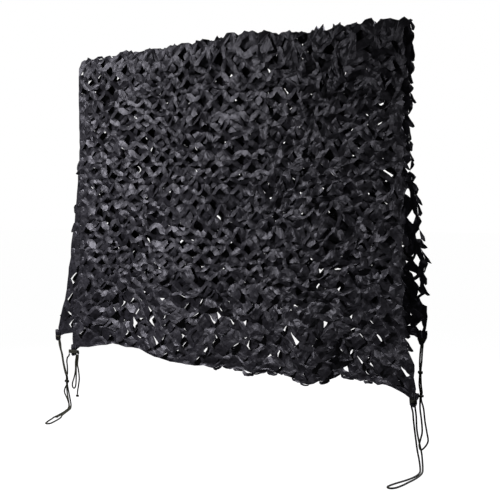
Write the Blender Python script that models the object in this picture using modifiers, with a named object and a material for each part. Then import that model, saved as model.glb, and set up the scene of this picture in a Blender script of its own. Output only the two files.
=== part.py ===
"""Camouflage net hung folded over a line, with a cord tie at each bottom corner.

Metres, +Z up. The origin is the middle of the line that the net hangs from,
just under its top fold. +X runs along the line, the front layer faces -Y, and
the shorter back layer hangs behind it. The net is made flat, as its maker cuts
it: diamonds of cloth around staggered slits. Then it is draped over the line.
"""
import math
import random
from collections import namedtuple

import bmesh
import bpy
from mathutils import Vector
from mathutils import noise

# ---- driving sizes ---------------------------------------------------------
CLOTH_THICKNESS = 0.0024
COLUMNS = 19                # leaf repeats across the width
FRONT_ROWS = 17             # leaf repeats from the fold down to the front hem
BACK_ROWS = 14              # leaf repeats from the fold down to the back hem
ROWS = FRONT_ROWS + BACK_ROWS
LEAF_WIDTH = 0.106          # one repeat across
LEAF_HEIGHT = 0.090         # one repeat down

SLIT_WIDTH = 0.040          # one opened slit, corner to corner
SLIT_HEIGHT = 0.016
SLIT_TILT = 14.0            # degrees, the most that a slit leans
CLOSED_ROWS = 6             # the first rows by the fold hang shut, so are left whole
CLEAR_OF_HEM = 0.03         # how far below the back hem the front layer shows light
SEEN_LEFT = 0.02            # how far in from the front layer's edges the back one
SEEN_RIGHT = 0.06           # still shows light, seen from the front right

RELIEF = 0.006              # how far a row of leaves stands in or out
RAGGED_EDGE = 0.011         # how far leaf tips stand out along the right edge
WOBBLE = 0.004              # small unevenness of the whole cloth
SEAM_GAP = 0.0003           # space kept between pieces that touch

CORD_RADIUS = 0.002
CORD_STEP = 0.012           # distance between the points of a cord
MOST_CORD_POINTS = 72
FLOOR = -1.810              # where the long ties touch down
SIDES = 8                   # sides of a knot

# ---- the net's outline: depth is metres below the line ---------------------
Edge = namedtuple("Edge", "depth left right")
FRONT_EDGES = (
    Edge(0.00, -0.990, 0.960),
    Edge(0.30, -0.978, 0.944),
    Edge(0.60, -0.974, 0.958),
    Edge(0.90, -0.972, 0.966),
    Edge(1.15, -0.984, 0.964),
    Edge(1.33, -1.012, 1.002),
    Edge(1.50, -1.030, 1.038),
)
BACK_EDGES = (
    Edge(0.00, -0.990, 0.960),
    Edge(0.10, -1.022, 0.958),
    Edge(0.34, -1.046, 0.948),
    Edge(0.60, -1.063, 0.960),
    Edge(0.76, -1.082, 0.992),
    Edge(0.92, -1.118, 1.006),
    Edge(1.05, -1.137, 1.018),
    Edge(1.20, -1.162, 1.038),
    Edge(1.30, -1.198, 1.022),
    Edge(1.42, -1.238, 1.010),
)

Hem = namedtuple("Hem", "across depth")         # across is 0 left, 1 right
FRONT_HEM = (
    Hem(0.00, 1.480),
    Hem(0.06, 1.466),
    Hem(0.15, 1.436),
    Hem(0.21, 1.440),
    Hem(0.28, 1.472),
    Hem(0.36, 1.490),
    Hem(0.47, 1.500),
    Hem(0.53, 1.486),
    Hem(0.57, 1.502),
    Hem(0.62, 1.484),
    Hem(0.68, 1.492),
    Hem(0.74, 1.526),
    Hem(0.82, 1.474),
    Hem(0.90, 1.480),
    Hem(0.94, 1.488),
    Hem(1.00, 1.526),
)
BACK_HEM = (
    Hem(0.00, 1.426),
    Hem(0.05, 1.420),
    Hem(0.12, 1.340),
    Hem(0.20, 1.215),
    Hem(0.34, 1.180),
    Hem(0.56, 1.188),
    Hem(0.76, 1.180),
    Hem(0.90, 1.215),
    Hem(0.96, 1.290),
    Hem(1.00, 1.282),
)

Ridge = namedtuple("Ridge", "across height")    # leaf tips above the line
RIDGES = (
    Ridge(0.00, 0.022),
    Ridge(0.15, 0.028),
    Ridge(0.30, 0.040),
    Ridge(0.45, 0.047),
    Ridge(0.51, 0.058),
    Ridge(0.58, 0.055),
    Ridge(0.66, 0.045),
    Ridge(0.76, 0.032),
    Ridge(0.90, 0.042),
    Ridge(1.00, 0.027),
)

Spread = namedtuple("Spread", "fall front back")    # layers' distance from the line
SPREADS = (
    Spread(0.000, 0.000, 0.000),
    Spread(0.030, 0.024, 0.024),
    Spread(0.060, 0.030, 0.029),
    Spread(0.250, 0.036, 0.032),
    Spread(1.000, 0.040, 0.036),
)

Fold = namedtuple("Fold", "across half_width reach begins")
FRONT_FOLDS = (                                 # reach is towards the viewer
    Fold(0.00, 0.09, 0.010, 0.70),
    Fold(0.15, 0.10, -0.016, 0.45),
    Fold(0.34, 0.13, 0.015, 0.30),
    Fold(0.53, 0.06, -0.012, 0.60),
    Fold(0.58, 0.05, 0.010, 0.75),
    Fold(0.63, 0.05, -0.010, 0.70),
    Fold(0.74, 0.09, 0.020, 0.35),
    Fold(0.86, 0.09, -0.016, 0.50),
    Fold(1.00, 0.08, 0.008, 0.60),
)
BACK_FOLDS = (
    Fold(0.05, 0.10, -0.012, 0.40),
    Fold(0.22, 0.12, 0.016, 0.30),
    Fold(0.42, 0.12, -0.012, 0.40),
    Fold(0.60, 0.11, 0.014, 0.35),
    Fold(0.80, 0.12, -0.010, 0.40),
    Fold(0.96, 0.07, 0.014, 0.50),
)

# ---- knots and ties --------------------------------------------------------
Knot = namedtuple("Knot", "name x y z axis length radius hole turns")
KNOTS = (                                       # z is the middle of the knot
    Knot("knot_front_left", -1.0145, -0.050, -1.4978, "X", 0.074, 0.0115, 0.0, 5),
    Knot("knot_back_left", -1.226, 0.030, -1.4403, "X", 0.034, 0.0080, 0.0, 3),
    Knot("knot_front_right", 1.026, -0.048, -1.5413, "X", 0.030, 0.0090, 0.0, 3),
    Knot("knot_back_right", 1.012, 0.0414, -1.2963, "X", 0.024, 0.0080, 0.0, 2),
    Knot("knot_join_left", -1.125, 0.000, -1.6670, "Z", 0.016, 0.0105, 0.0068, 3),
    Knot("knot_slide_right", 1.014, 0.025, -1.4300, "Z", 0.014, 0.0092, 0.0054, 3),
    Knot("knot_low_right", 1.028, 0.008, -1.5250, "Z", 0.012, 0.0100, 0.0062, 2),
    Knot("knot_end_left", -0.989, -0.050, -1.7250, "Z", 0.014, 0.0062, 0.0, 2),
    Knot("knot_end_floor", -0.945, -0.232, FLOOR + 0.0063, "Z", 0.012, 0.0068, 0.0, 2),
)

# ---- materials: colour, roughness ------------------------------------------
CLOTH_LOOK = ("net_cloth", (0.018, 0.018, 0.022), 0.72)
CORD_LOOK = ("tie_cord", (0.060, 0.062, 0.040), 0.80)


def clear_scene():
    """Remove what a new scene holds."""
    for thing in list(bpy.data.objects):
        bpy.data.objects.remove(thing, do_unlink=True)


def make_collection(name):
    """A collection of the scene for the finished pieces."""
    collection = bpy.data.collections.new(name)
    bpy.context.scene.collection.children.link(collection)
    return collection


def make_material(look):
    """A Principled material from a name, a colour and a roughness."""
    name, colour, roughness = look
    material = bpy.data.materials.new(name)
    material.use_nodes = True
    shader = material.node_tree.nodes["Principled BSDF"]
    shader.inputs["Base Color"].default_value = (*colour, 1.0)
    shader.inputs["Roughness"].default_value = roughness
    shader.inputs["Metallic"].default_value = 0.0
    return material


def read_table(rows, key, column, at):
    """A table's column at a value of its key column, straight between rows."""
    before = rows[0]
    for row in rows:
        if getattr(row, key) >= at:
            span = getattr(row, key) - getattr(before, key)
            part = (at - getattr(before, key)) / span if span > 0 else 0.0
            return (1 - part) * getattr(before, column) + part * getattr(row, column)
        before = row
    return getattr(rows[-1], column)


def soft_step(low, high, value):
    """0 below low, 1 above high, and a smooth rise between."""
    part = min(max((value - low) / (high - low), 0.0), 1.0)
    return part * part * (3 - 2 * part)


def fold_reach(folds, across, fall):
    """How far the hanging folds carry the cloth out at one place."""
    reach = 0.0
    for fold in folds:
        aside = (across - fold.across) / fold.half_width
        if abs(aside) < 1:
            swell = 0.5 + 0.5 * math.cos(math.pi * aside)
            reach += fold.reach * swell * soft_step(fold.begins, 1.0, fall)
    return reach


def drape(column, row):
    """Where a place of the flat net comes to lie when it hangs.

    column runs from 0 at the left edge to COLUMNS at the right, and row from
    -BACK_ROWS at the back hem through 0 on the fold to FRONT_ROWS at the front.
    """
    across = column / COLUMNS
    front = row >= 0
    rows = FRONT_ROWS if front else BACK_ROWS
    fall = abs(row) / rows
    hem = read_table(FRONT_HEM if front else BACK_HEM, "across", "depth", across)
    edges = FRONT_EDGES if front else BACK_EDGES
    depth = fall * hem
    left = read_table(edges, "depth", "left", depth)
    right = read_table(edges, "depth", "right", depth)
    x = left + across * (right - left)

    spread = read_table(SPREADS, "fall", "front" if front else "back", fall)
    folds = FRONT_FOLDS if front else BACK_FOLDS
    lively = soft_step(0.04, 0.12, fall) * soft_step(0.0, 1.0, (1 - fall) * rows)
    inside = soft_step(0.0, 0.8, column) * soft_step(0.0, 0.8, COLUMNS - column)
    leaves = RELIEF * math.cos(2 * math.pi * row) * lively * inside
    wobble = WOBBLE * lively * noise.noise(Vector((4 * x, 4 * depth, 2.0 * front)))
    out = spread + fold_reach(folds, across, fall) + leaves + wobble
    y = -out if front else out

    ridge = read_table(RIDGES, "across", "height", across)
    z = ridge * max(0.0, 1 - abs(row) / 0.5) - depth
    return Vector((x, y, z))


def cut_diamonds(net):
    """Turn a square grid into diamonds, with straight outer edges."""
    grid_lines = [edge for edge in net.edges if len(edge.link_faces) == 2]
    bmesh.ops.poke(net, faces=net.faces[:])
    bmesh.ops.dissolve_edges(net, edges=grid_lines, use_verts=False)
    rim = [edge for edge in net.edges if edge.is_boundary]
    bmesh.ops.subdivide_edges(net, edges=rim, cuts=1)


def hangs_single(column, row):
    """True where light comes through: only one layer of the net hangs there."""
    place = drape(column, row)
    depth = -place.z
    other = BACK_EDGES if row > 0 else FRONT_EDGES
    left = read_table(other, "depth", "left", depth)
    right = read_table(other, "depth", "right", depth)
    if row > 0:
        across = (place.x - left) / (right - left)
        return depth > read_table(BACK_HEM, "across", "depth", across) + CLEAR_OF_HEM
    return place.x < left + SEEN_LEFT or place.x > right - SEEN_RIGHT


def choose_gaps(net):
    """The diamonds to open: all that show light, and elsewhere twice as far apart."""
    chosen = []
    for face in net.faces:
        centre = face.calc_center_median()
        column, row = round(2 * centre.x) / 2, round(2 * centre.y) / 2
        from_hem = min(FRONT_ROWS - row, row + BACK_ROWS)
        from_side = min(column, COLUMNS - column)
        if len(face.verts) != 4 or from_hem < 0.6 or from_side < 0.4:
            continue
        second = row % 1 == 0 and (column - 0.5) % 2 == row % 2
        if hangs_single(column, row) and abs(row) > 1:
            chosen.append(face)
        elif second and abs(row) >= CLOSED_ROWS:
            chosen.append(face)
    return chosen


def open_slits(net, chance):
    """Cut one slanting slit in the middle of each chosen diamond."""
    slits = choose_gaps(net)
    bmesh.ops.inset_individual(net, faces=slits, thickness=0.12)
    for face in slits:
        centre = face.calc_center_median()
        tilt = math.radians(chance.uniform(-SLIT_TILT, SLIT_TILT))
        size = chance.uniform(0.75, 1.15)
        for vert in face.verts:
            way = (vert.co - centre).normalized()
            wide = way.x * SLIT_WIDTH / 2 * size
            high = way.y * SLIT_HEIGHT / 2 * size
            turned_x = wide * math.cos(tilt) - high * math.sin(tilt)
            turned_y = wide * math.sin(tilt) + high * math.cos(tilt)
            vert.co.x = centre.x + turned_x / LEAF_WIDTH
            vert.co.y = centre.y + turned_y / LEAF_HEIGHT
    bmesh.ops.delete(net, geom=slits, context="FACES_ONLY")
    return len(slits)


def make_ragged(place, column, row, chance):
    """Leaf tips along the fold and the cut right edge."""
    if abs(row) < 0.1 and 0.1 < column < COLUMNS - 0.1:
        place.z += chance.uniform(-0.004, 0.009)
    if column > COLUMNS - 0.1 and abs(row) > 0.3:
        place.x += RAGGED_EDGE * chance.uniform(-1, 1)
    return place


def pull_corners(place, column, row):
    """The ties' weight draws each hem corner down into a short ear."""
    at_hem = row > FRONT_ROWS - 0.1 or row < 0.1 - BACK_ROWS
    at_side = column < 0.1 or column > COLUMNS - 0.1
    if at_hem and at_side:
        place.z -= 0.006
    return place


def make_net(collection, material):
    """The whole net: one cloth, slit, folded over the line and hanging."""
    chance = random.Random(11)
    net = bmesh.new()
    bmesh.ops.create_grid(net, x_segments=COLUMNS, y_segments=ROWS, size=0.5)
    for vert in net.verts:
        vert.co.x = (vert.co.x + 0.5) * COLUMNS
        vert.co.y = (vert.co.y + 0.5) * ROWS - BACK_ROWS
    cut_diamonds(net)
    slits = open_slits(net, chance)
    for vert in net.verts:
        column, row = vert.co.x, vert.co.y
        place = drape(column, row)
        place = make_ragged(place, column, row, chance)
        vert.co = pull_corners(place, column, row)
    bmesh.ops.triangulate(net, faces=net.faces[:])
    mesh = bpy.data.meshes.new("net")
    net.to_mesh(mesh)
    net.free()
    mesh.shade_smooth()
    mesh.materials.append(material)
    cloth = bpy.data.objects.new("net", mesh)
    collection.objects.link(cloth)
    shell = cloth.modifiers.new("thickness", "SOLIDIFY")
    shell.thickness = CLOTH_THICKNESS
    shell.offset = 0.0
    print("net:", slits, "slits,", len(mesh.polygons), "faces before thickness")
    return cloth


def knot_profile(knot):
    """Half the section of a knot: a row of round turns beside its axis."""
    turn = knot.length / knot.turns
    groove = knot.radius - 0.35 * turn
    points = [(groove, knot.length / 2)]
    for count in range(knot.turns):
        top = knot.length / 2 - count * turn
        points.append((knot.radius, top - 0.30 * turn))
        points.append((knot.radius, top - 0.70 * turn))
        points.append((groove, top - turn))
    if knot.hole > 0:
        points.append((knot.hole, -knot.length / 2))
        points.append((knot.hole, knot.length / 2))
        points.append(points[0])
    else:
        points.insert(0, (0.0, knot.length / 2))
        points.append((0.0, -knot.length / 2))
    return points


def make_knot(knot, collection, material):
    """A knot: turns of cord packed side by side, solid or around a hole."""
    profile = knot_profile(knot)
    section = bmesh.new()
    corners = [section.verts.new((reach, 0.0, along)) for reach, along in profile]
    for first, second in zip(corners, corners[1:]):
        section.edges.new((first, second))
    bmesh.ops.remove_doubles(section, verts=section.verts[:], dist=0.00001)
    mesh = bpy.data.meshes.new(knot.name)
    section.to_mesh(mesh)
    section.free()
    mesh.materials.append(material)
    piece = bpy.data.objects.new(knot.name, mesh)
    piece.location = (knot.x, knot.y, knot.z)
    if knot.axis == "X":
        piece.rotation_euler.y = math.radians(90)
    collection.objects.link(piece)
    turned = piece.modifiers.new("turn", "SCREW")
    turned.steps = SIDES
    turned.render_steps = SIDES
    turned.use_merge_vertices = True
    turned.merge_threshold = 0.00002
    turned.use_normal_calculate = True
    return piece


def smooth_route(stops):
    """Even points on a smooth curve through a cord's stops."""
    places = [Vector(stop) for stop in stops]
    padded = [2 * places[0] - places[1]] + places + [2 * places[-1] - places[-2]]
    fine = []
    for index in range(1, len(padded) - 2):
        a, b, c, d = padded[index - 1:index + 3]
        for step in range(24):
            t = step / 24
            fine.append(0.5 * (2 * b + (c - a) * t
                               + (2 * a - 5 * b + 4 * c - d) * t * t
                               + (3 * b - a - 3 * c + d) * t * t * t))
    fine.append(places[-1])
    travelled = [0.0]
    for first, second in zip(fine, fine[1:]):
        travelled.append(travelled[-1] + (second - first).length)
    count = min(MOST_CORD_POINTS, max(6, round(travelled[-1] / CORD_STEP)))
    even, at = [], 0
    for index in range(count):
        goal = travelled[-1] * index / (count - 1)
        while at < len(fine) - 2 and travelled[at + 1] < goal:
            at += 1
        part = (goal - travelled[at]) / (travelled[at + 1] - travelled[at])
        even.append(fine[at].lerp(fine[at + 1], part))
    return even, travelled[-1]


def make_tie(name, stops, collection, material):
    """One cord: a round tube along its route."""
    points, length = smooth_route(stops)
    curve = bpy.data.curves.new(name, "CURVE")
    curve.dimensions = "3D"
    curve.bevel_depth = CORD_RADIUS
    curve.bevel_resolution = 2
    curve.use_fill_caps = True
    spline = curve.splines.new("POLY")
    spline.points.add(len(points) - 1)
    for point, place in zip(spline.points, points):
        point.co = (*place, 1.0)
    curve.materials.append(material)
    tie = bpy.data.objects.new(name, curve)
    collection.objects.link(tie)
    print(name, "length", round(length, 3), "points", len(points))
    return tie


def under(knot_name, aside):
    """The place just below a knot where one cord comes out of it."""
    knot = next(knot for knot in KNOTS if knot.name == knot_name)
    drop = knot.radius if knot.axis == "X" else knot.length / 2
    return (knot.x + aside, knot.y, knot.z - drop - SEAM_GAP)


def below(knot_name, aside, drop):
    """A place straight below where a cord comes out of a knot."""
    x, y, z = under(knot_name, aside)
    return (x, y, z - drop)


LYING = FLOOR + CORD_RADIUS     # middle of a cord that lies on the floor

BACK_LEFT_STOPS = (
    under("knot_back_left", 0.007),
    below("knot_back_left", 0.006, 0.012),
    (-1.2165, 0.029, -1.480),
    (-1.2060, 0.027, -1.504),
    (-1.1920, 0.024, -1.530),
    (-1.1720, 0.016, -1.578),
    (-1.1480, 0.007, -1.620),
    (-1.1280, 0.0015, -1.648),
    (-1.1273, 0.0013, -1.667),
    (-1.1278, 0.0013, -1.686),
    (-1.1420, 0.001, -1.708),
    (-1.1440, 0.000, -1.730),
    (-1.1180, -0.004, -1.762),
    (-1.1020, -0.008, -1.788),
    (-1.0870, -0.026, LYING + 0.003),
    (-1.0650, -0.060, LYING),
    (-1.0350, -0.104, LYING),
    (-0.9840, -0.190, LYING),
    (-0.9600, -0.236, LYING),
    (-0.9330, -0.276, LYING),
    (-0.9040, -0.322, LYING),
    (-0.8820, -0.352, LYING),
    (-0.8670, -0.370, LYING),
    (-0.8520, -0.374, LYING),
    (-0.8470, -0.360, LYING),
    (-0.8560, -0.338, LYING),
    (-0.8780, -0.298, LYING),
    (-0.9060, -0.250, LYING),
    (-0.9330, -0.212, LYING),
    (-0.9700, -0.172, LYING),
    (-1.0250, -0.094, LYING),
    (-1.0560, -0.050, LYING),
    (-1.0770, -0.018, LYING + 0.004),
    (-1.0920, -0.002, -1.788),
    (-1.1030, 0.002, -1.762),
    (-1.1130, 0.003, -1.730),
    (-1.1190, 0.002, -1.706),
    (-1.1222, 0.0013, -1.686),
    (-1.1227, 0.0013, -1.667),
    (-1.1222, 0.0015, -1.648),
    (-1.1400, 0.007, -1.620),
    (-1.1640, 0.014, -1.578),
    (-1.1850, 0.022, -1.530),
    (-1.1985, 0.025, -1.504),
    (-1.2045, 0.028, -1.480),
    below("knot_back_left", 0.014, 0.012),
    under("knot_back_left", 0.013),
)

SIDE_LEFT_STOPS = (
    under("knot_front_left", -0.034),
    below("knot_front_left", -0.038, 0.012),
    (-1.0680, -0.046, -1.532),
    (-1.0820, -0.038, -1.554),
    (-1.0920, -0.026, -1.584),
    (-1.1060, -0.013, -1.622),
    (-1.1230, -0.0045, -1.646),
    (-1.1250, -0.0030, -1.667),
    (-1.1230, -0.0040, -1.686),
    (-1.1180, -0.0070, -1.712),
    (-1.1080, -0.0095, -1.750),
    (-1.0970, -0.0110, -1.786),
    (-1.0800, -0.0220, LYING + 0.003),
    (-1.0590, -0.0540, LYING),
    (-1.0300, -0.0990, LYING),
    (-0.9760, -0.1830, LYING),
    (-0.9488, -0.2260, LYING + 0.003),
)

LOOP_LEFT_STOPS = (
    under("knot_front_left", 0.018),
    below("knot_front_left", 0.018, 0.014),
    (-1.0020, -0.050, -1.551),
    (-1.0030, -0.050, -1.593),
    (-1.0130, -0.050, -1.631),
    (-1.0260, -0.050, -1.662),
    (-1.0250, -0.050, -1.682),
    (-1.0120, -0.050, -1.688),
    (-1.0020, -0.050, -1.674),
    (-0.9970, -0.051, -1.640),
    (-0.9950, -0.052, -1.593),
    (-0.9950, -0.051, -1.551),
    below("knot_front_left", 0.025, 0.014),
    under("knot_front_left", 0.025),
)

END_LEFT_STOPS = (
    under("knot_front_left", 0.0325),
    below("knot_front_left", 0.0325, 0.014),
    (-0.9870, -0.050, -1.561),
    (-0.9800, -0.050, -1.591),
    (-0.9740, -0.050, -1.633),
    (-0.9800, -0.050, -1.670),
    (-0.9865, -0.050, -1.697),
    (-0.9890, -0.050, -1.7250 + 0.007 + SEAM_GAP),
)

FRONT_RIGHT_STOPS = (
    under("knot_front_right", -0.009),
    below("knot_front_right", -0.009, 0.014),
    (1.0230, -0.048, -1.585),
    (1.0280, -0.050, -1.620),
    (1.0350, -0.053, -1.657),
    (1.0430, -0.056, -1.696),
    (1.0520, -0.060, -1.735),
    (1.0660, -0.068, -1.773),
    (1.0800, -0.084, -1.798),
    (1.0990, -0.116, LYING + 0.001),
    (1.1160, -0.160, LYING),
    (1.1270, -0.215, LYING),
    (1.1290, -0.275, LYING),
    (1.1250, -0.335, LYING),
    (1.1250, -0.386, LYING),
    (1.1330, -0.413, LYING),
    (1.1500, -0.420, LYING),
    (1.1620, -0.400, LYING),
    (1.1620, -0.355, LYING),
    (1.1550, -0.300, LYING),
    (1.1460, -0.235, LYING),
    (1.1290, -0.165, LYING),
    (1.1100, -0.116, LYING + 0.001),
    (1.0900, -0.080, -1.796),
    (1.0780, -0.064, -1.768),
    (1.0700, -0.056, -1.745),
    (1.0610, -0.053, -1.718),
    (1.0500, -0.049, -1.688),
    (1.0410, -0.046, -1.650),
    (1.0380, -0.046, -1.600),
    below("knot_front_right", 0.008, 0.014),
    under("knot_front_right", 0.008),
)

BACK_RIGHT_STOPS = (
    under("knot_back_right", -0.003),
    below("knot_back_right", -0.004, 0.014),
    (1.0070, 0.036, -1.350),
    (1.0080, 0.030, -1.390),
    (1.0114, 0.0255, -1.416),
    (1.0116, 0.0250, -1.430),
    (1.0112, 0.0245, -1.446),
    (1.0120, 0.021, -1.482),
    (1.0240, 0.010, -1.510),
    (1.0256, 0.008, -1.525),
    (1.0250, 0.006, -1.542),
    (1.0290, 0.000, -1.580),
    (1.0390, -0.005, -1.625),
    (1.0450, -0.010, -1.670),
    (1.0420, -0.018, -1.700),
    (1.0400, -0.024, -1.722),
    (1.0480, -0.026, -1.740),
    (1.0620, -0.020, -1.730),
    (1.0740, -0.012, -1.704),
    (1.0640, -0.005, -1.668),
    (1.0520, 0.000, -1.625),
    (1.0440, 0.002, -1.575),
    (1.0310, 0.006, -1.542),
    (1.0304, 0.008, -1.525),
    (1.0310, 0.011, -1.510),
    (1.0210, 0.021, -1.482),
    (1.0168, 0.0245, -1.446),
    (1.0164, 0.0250, -1.430),
    (1.0166, 0.0255, -1.416),
    (1.0170, 0.031, -1.385),
    (1.0160, 0.036, -1.350),
    below("knot_back_right", 0.004, 0.014),
    under("knot_back_right", 0.003),
)

TIES = {
    "tie_back_left": BACK_LEFT_STOPS,
    "tie_side_left": SIDE_LEFT_STOPS,
    "tie_loop_left": LOOP_LEFT_STOPS,
    "tie_end_left": END_LEFT_STOPS,
    "tie_front_right": FRONT_RIGHT_STOPS,
    "tie_back_right": BACK_RIGHT_STOPS,
}


def main():
    clear_scene()
    collection = make_collection("camouflage_net")
    cloth = make_material(CLOTH_LOOK)
    cord = make_material(CORD_LOOK)
    make_net(collection, cloth)
    for knot in KNOTS:
        make_knot(knot, collection, cord)
    for name, stops in TIES.items():
        make_tie(name, stops, collection, cord)


main()
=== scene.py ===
# %% [markdown]
# # A camouflage net folded over a line
#
# The real thing is one piece of black cloth. Rows of short cuts are punched through it,
# and when it is pulled open each cut turns into a small window. The strips between the
# windows become zigzag strands, and the cloth punched out of each window stays joined
# along one side, as a leaf. The net hangs folded over a line, with a longer layer in
# front, and an olive cord is knotted to each bottom corner.
#
# The measured model already has the true size, the drape and the route of each cord.
# This script keeps all that and gives it the real surface: strands, leaves, hems,
# braided cord and wound knots. Chance and noise both start from a seed, so every run
# makes the same net.

# %% Load the measured model
import math
import random
from collections import namedtuple

import bmesh
import bpy
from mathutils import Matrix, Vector
from mathutils import noise


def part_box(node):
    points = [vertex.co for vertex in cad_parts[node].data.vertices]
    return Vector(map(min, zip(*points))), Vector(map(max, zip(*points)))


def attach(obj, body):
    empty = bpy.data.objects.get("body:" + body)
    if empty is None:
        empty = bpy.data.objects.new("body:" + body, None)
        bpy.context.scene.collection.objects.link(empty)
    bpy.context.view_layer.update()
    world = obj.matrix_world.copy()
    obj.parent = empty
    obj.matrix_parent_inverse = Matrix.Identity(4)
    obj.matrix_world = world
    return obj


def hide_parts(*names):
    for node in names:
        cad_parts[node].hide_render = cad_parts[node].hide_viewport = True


NOISE_SEED = 5

noise.seed_set(NOISE_SEED)
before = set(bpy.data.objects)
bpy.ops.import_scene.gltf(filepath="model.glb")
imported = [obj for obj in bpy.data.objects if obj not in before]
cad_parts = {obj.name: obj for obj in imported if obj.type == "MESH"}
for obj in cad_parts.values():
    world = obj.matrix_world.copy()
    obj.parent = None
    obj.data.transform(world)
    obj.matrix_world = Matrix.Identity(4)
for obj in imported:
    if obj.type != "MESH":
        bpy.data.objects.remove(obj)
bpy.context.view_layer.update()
print("pieces in the measured model:", len(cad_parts))

# %% [markdown]
# ## The camera
#
# The photo was taken from the right of the net, a little below the line and almost
# level, with a long lens: both upright edges stay nearly parallel. So the camera gets a
# place in metres, a turn and a slight dip, and a lens of about 83 mm.

# %% Place the camera
CAMERA_PLACE = (3.45, -4.09, -0.75)
CAMERA_TURN = 39.1      # degrees to the left of facing straight at the net
CAMERA_DIP = 2.1        # degrees below level
CAMERA_LENS = 82.66     # millimetres
CAMERA_SENSOR = 36.0    # width of its sensor, millimetres
CAMERA_SIGHT = 60.0     # how far it sees, metres

camera_data = bpy.data.cameras.new("camera")
camera_data.lens = CAMERA_LENS
camera_data.sensor_width = CAMERA_SENSOR
camera_data.clip_end = CAMERA_SIGHT
camera = bpy.data.objects.new("camera", camera_data)
camera.location = CAMERA_PLACE
camera.rotation_euler = (math.radians(90 - CAMERA_DIP), 0.0, math.radians(CAMERA_TURN))
bpy.context.scene.collection.objects.link(camera)
bpy.context.scene.camera = camera
print("camera stands", round(Vector(CAMERA_PLACE).length, 2), "m from the line")

# %% [markdown]
# ## The cords' routes
#
# A tie is a plain cord, doubled so that it ends in a loop. Each one leaves a knot under
# a corner of the net, hangs, runs through other knots, and two of them lie down on the
# floor. A list of stops is the simplest way to say where a cord goes: a smooth curve
# through them gives the hang and the bends. The stops are the measured model's own, so
# the finished cord lies where the model's cord does.

# %% Where the cords leave the knots
SEAM_GAP = 0.0003       # space between pieces that touch
FLOOR = -1.810          # where the measured model's long ties touch down
MODEL_RADIUS = 0.002    # of the measured model's cords
LYING = FLOOR + MODEL_RADIUS


def middle(node):
    """The centre of a piece of the measured model."""
    low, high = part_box(node)
    return (Vector(low) + Vector(high)) / 2


def under(knot, aside):
    """The place just below a knot where one cord comes out of it."""
    centre = middle(knot)
    return (centre.x + aside, centre.y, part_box(knot)[0][2] - SEAM_GAP)


def below(knot, aside, drop):
    """A place straight below where a cord comes out of a knot."""
    x, y, z = under(knot, aside)
    return (x, y, z - drop)


print("front left knot is at", [round(x, 3) for x in middle("knot_front_left")])

# %% Stops of the left ties
BACK_LEFT_STOPS = (
    under("knot_back_left", 0.007),
    below("knot_back_left", 0.006, 0.012),
    (-1.2165, 0.029, -1.480),
    (-1.2060, 0.027, -1.504),
    (-1.1920, 0.024, -1.530),
    (-1.1720, 0.016, -1.578),
    (-1.1480, 0.007, -1.620),
    (-1.1280, 0.0015, -1.648),
    (-1.1273, 0.0013, -1.667),
    (-1.1278, 0.0013, -1.686),
    (-1.1420, 0.001, -1.708),
    (-1.1440, 0.000, -1.730),
    (-1.1180, -0.004, -1.762),
    (-1.1020, -0.008, -1.788),
    (-1.0870, -0.026, LYING + 0.003),
    (-1.0650, -0.060, LYING),
    (-1.0350, -0.104, LYING),
    (-0.9840, -0.190, LYING),
    (-0.9600, -0.236, LYING),
    (-0.9330, -0.276, LYING),
    (-0.9040, -0.322, LYING),
    (-0.8820, -0.352, LYING),
    (-0.8670, -0.370, LYING),
    (-0.8520, -0.374, LYING),
    (-0.8470, -0.360, LYING),
    (-0.8560, -0.338, LYING),
    (-0.8780, -0.298, LYING),
    (-0.9060, -0.250, LYING),
    (-0.9330, -0.212, LYING),
    (-0.9700, -0.172, LYING),
    (-1.0250, -0.094, LYING),
    (-1.0560, -0.050, LYING),
    (-1.0770, -0.018, LYING + 0.004),
    (-1.0920, -0.002, -1.788),
    (-1.1030, 0.002, -1.762),
    (-1.1130, 0.003, -1.730),
    (-1.1190, 0.002, -1.706),
    (-1.1222, 0.0013, -1.686),
    (-1.1227, 0.0013, -1.667),
    (-1.1222, 0.0015, -1.648),
    (-1.1400, 0.007, -1.620),
    (-1.1640, 0.014, -1.578),
    (-1.1850, 0.022, -1.530),
    (-1.1985, 0.025, -1.504),
    (-1.2045, 0.028, -1.480),
    below("knot_back_left", 0.014, 0.012),
    under("knot_back_left", 0.013),
)

SIDE_LEFT_STOPS = (
    under("knot_front_left", -0.034),
    below("knot_front_left", -0.038, 0.012),
    (-1.0680, -0.046, -1.532),
    (-1.0820, -0.038, -1.554),
    (-1.0920, -0.026, -1.584),
    (-1.1060, -0.013, -1.622),
    (-1.1230, -0.0045, -1.646),
    (-1.1250, -0.0030, -1.667),
    (-1.1230, -0.0040, -1.686),
    (-1.1180, -0.0070, -1.712),
    (-1.1080, -0.0095, -1.750),
    (-1.0970, -0.0110, -1.786),
    (-1.0800, -0.0220, LYING + 0.003),
    (-1.0590, -0.0540, LYING),
    (-1.0300, -0.0990, LYING),
    (-0.9760, -0.1830, LYING),
    (-0.9488, -0.2260, LYING + 0.003),
)

LOOP_LEFT_STOPS = (
    under("knot_front_left", 0.018),
    below("knot_front_left", 0.018, 0.014),
    (-1.0020, -0.050, -1.551),
    (-1.0030, -0.050, -1.593),
    (-1.0130, -0.050, -1.631),
    (-1.0260, -0.050, -1.662),
    (-1.0250, -0.050, -1.682),
    (-1.0120, -0.050, -1.688),
    (-1.0020, -0.050, -1.674),
    (-0.9970, -0.051, -1.640),
    (-0.9950, -0.052, -1.593),
    (-0.9950, -0.051, -1.551),
    below("knot_front_left", 0.025, 0.014),
    under("knot_front_left", 0.025),
)

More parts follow.
